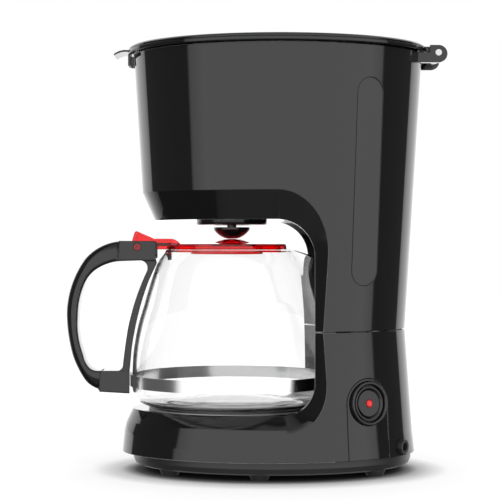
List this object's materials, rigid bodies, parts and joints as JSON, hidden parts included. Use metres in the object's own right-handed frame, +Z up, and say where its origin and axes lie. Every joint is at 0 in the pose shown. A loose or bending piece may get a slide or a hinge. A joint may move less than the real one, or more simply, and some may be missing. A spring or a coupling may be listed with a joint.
{
  "type": "drip coffee maker",
  "caption": "Drip coffee maker with a hinged top lid, a water tank with a gauge window, a lift-out filter basket with a drip stop, and a glass carafe on a warming plate.",
  "frame": {"origin": "on the surface the feet stand on, under the middle of the whole object", "axes": "+X to the rear, where the lid is hinged; +Y away from the side with the switch and the gauge; +Z up"},
  "size_m": [0.2826, 0.1796, 0.316],
  "materials": {
    "casing": "gloss black",
    "casing_matte": "satin black",
    "window": "smoked, semi-gloss",
    "tank": "translucent grey",
    "filter_plastic": "satin black",
    "mesh": "fine nylon mesh in a moulded frame",
    "glass": "clear",
    "polished_steel": "polished",
    "steel": "plain",
    "plate_coating": "non-stick coating, satin",
    "cast": "as cast",
    "hose": "translucent silicone",
    "foot": "matt",
    "red": "translucent red, gloss",
    "lens": "clear red",
    "switch_plastic": "plain"
  },
  "bodies": {
    "housing": {"upper_housing": "casing", "lower_housing": "casing", "switch_panel": "casing", "water_gauge_window": "window", "switch_bezel": "casing", "switch_module": "switch_plastic", "cord_gland": "casing_matte", "bottom_pan": "casing_matte", "rubber_feet": "foot", "pan_screws": "steel", "water_tank": "tank", "check_valve": "switch_plastic", "check_ball": "steel", "riser_seal": "hose", "riser_tube": "tank", "inlet_hose": "hose", "riser_hose": "hose", "hose_clips": "steel", "spray_arm": "filter_plastic", "basket_holder": "casing_matte", "warming_plate": "plate_coating", "plate_seal": "hose", "water_tube": "cast", "heating_element": "steel", "heater_casting": "cast", "thermostat": "steel", "thermal_fuse": "steel", "heater_strap": "steel", "strap_screws": "steel", "hinge_pin": "steel"},
    "top_lid": {"top_lid": "casing"},
    "power_button": {"power_button": "casing", "led_lens": "lens"},
    "filter_basket": {"filter_basket": "filter_plastic", "valve_cage": "filter_plastic", "drip_spring": "steel"},
    "mesh_filter": {"mesh_filter": "mesh"},
    "drip_stop": {"drip_stop_plunger": "filter_plastic", "drip_stop_seal": "hose"},
    "carafe": {"carafe_glass": "glass", "carafe_band": "polished_steel", "handle_screw": "steel", "carafe_handle": "casing"},
    "carafe_lid": {"carafe_lid": "red", "lid_pivot_pin": "red"}
  },
  "joints": [
    {"name": "top_lid_hinge", "type": "hinge", "parent": "housing", "child": "top_lid", "pos_m": [0.1349, 0, 0.3093], "axis": [0, 1, 0], "range_deg": [0, 95]},
    {"name": "carafe_slide", "type": "slide", "parent": "housing", "child": "carafe", "axis": [-1, 0, 0], "range_m": [0, 0.24]},
    {"name": "carafe_lid_hinge", "type": "hinge", "parent": "carafe", "child": "carafe_lid", "pos_m": [-0.0877, 0, 0.1663], "axis": [0, -1, 0], "range_deg": [0, 2.45]},
    {"name": "filter_basket_lift", "type": "slide", "parent": "housing", "child": "filter_basket", "axis": [0, 0, 1], "range_m": [0, 0.028]},
    {"name": "mesh_filter_lift", "type": "slide", "parent": "filter_basket", "child": "mesh_filter", "axis": [0, 0, 1], "range_m": [0, 0.02]},
    {"name": "drip_stop_lift", "type": "slide", "parent": "filter_basket", "child": "drip_stop", "axis": [0, 0, 1], "range_m": [0, 0.003], "stiffness_N_per_m": 150, "springref_m": -0.004, "deforming": ["drip_spring"]},
    {"name": "power_button_press", "type": "slide", "parent": "housing", "child": "power_button", "axis": [-0.5501, 0.8313, -0.0792], "range_m": [0, 0.0018], "stiffness_N_per_m": 400, "springref_m": -0.002}
  ],
  "couplings": [
    {"joint": "drip_stop_lift", "follows": "carafe_lid_hinge", "m_per_rad": 0.0702}
  ]
}
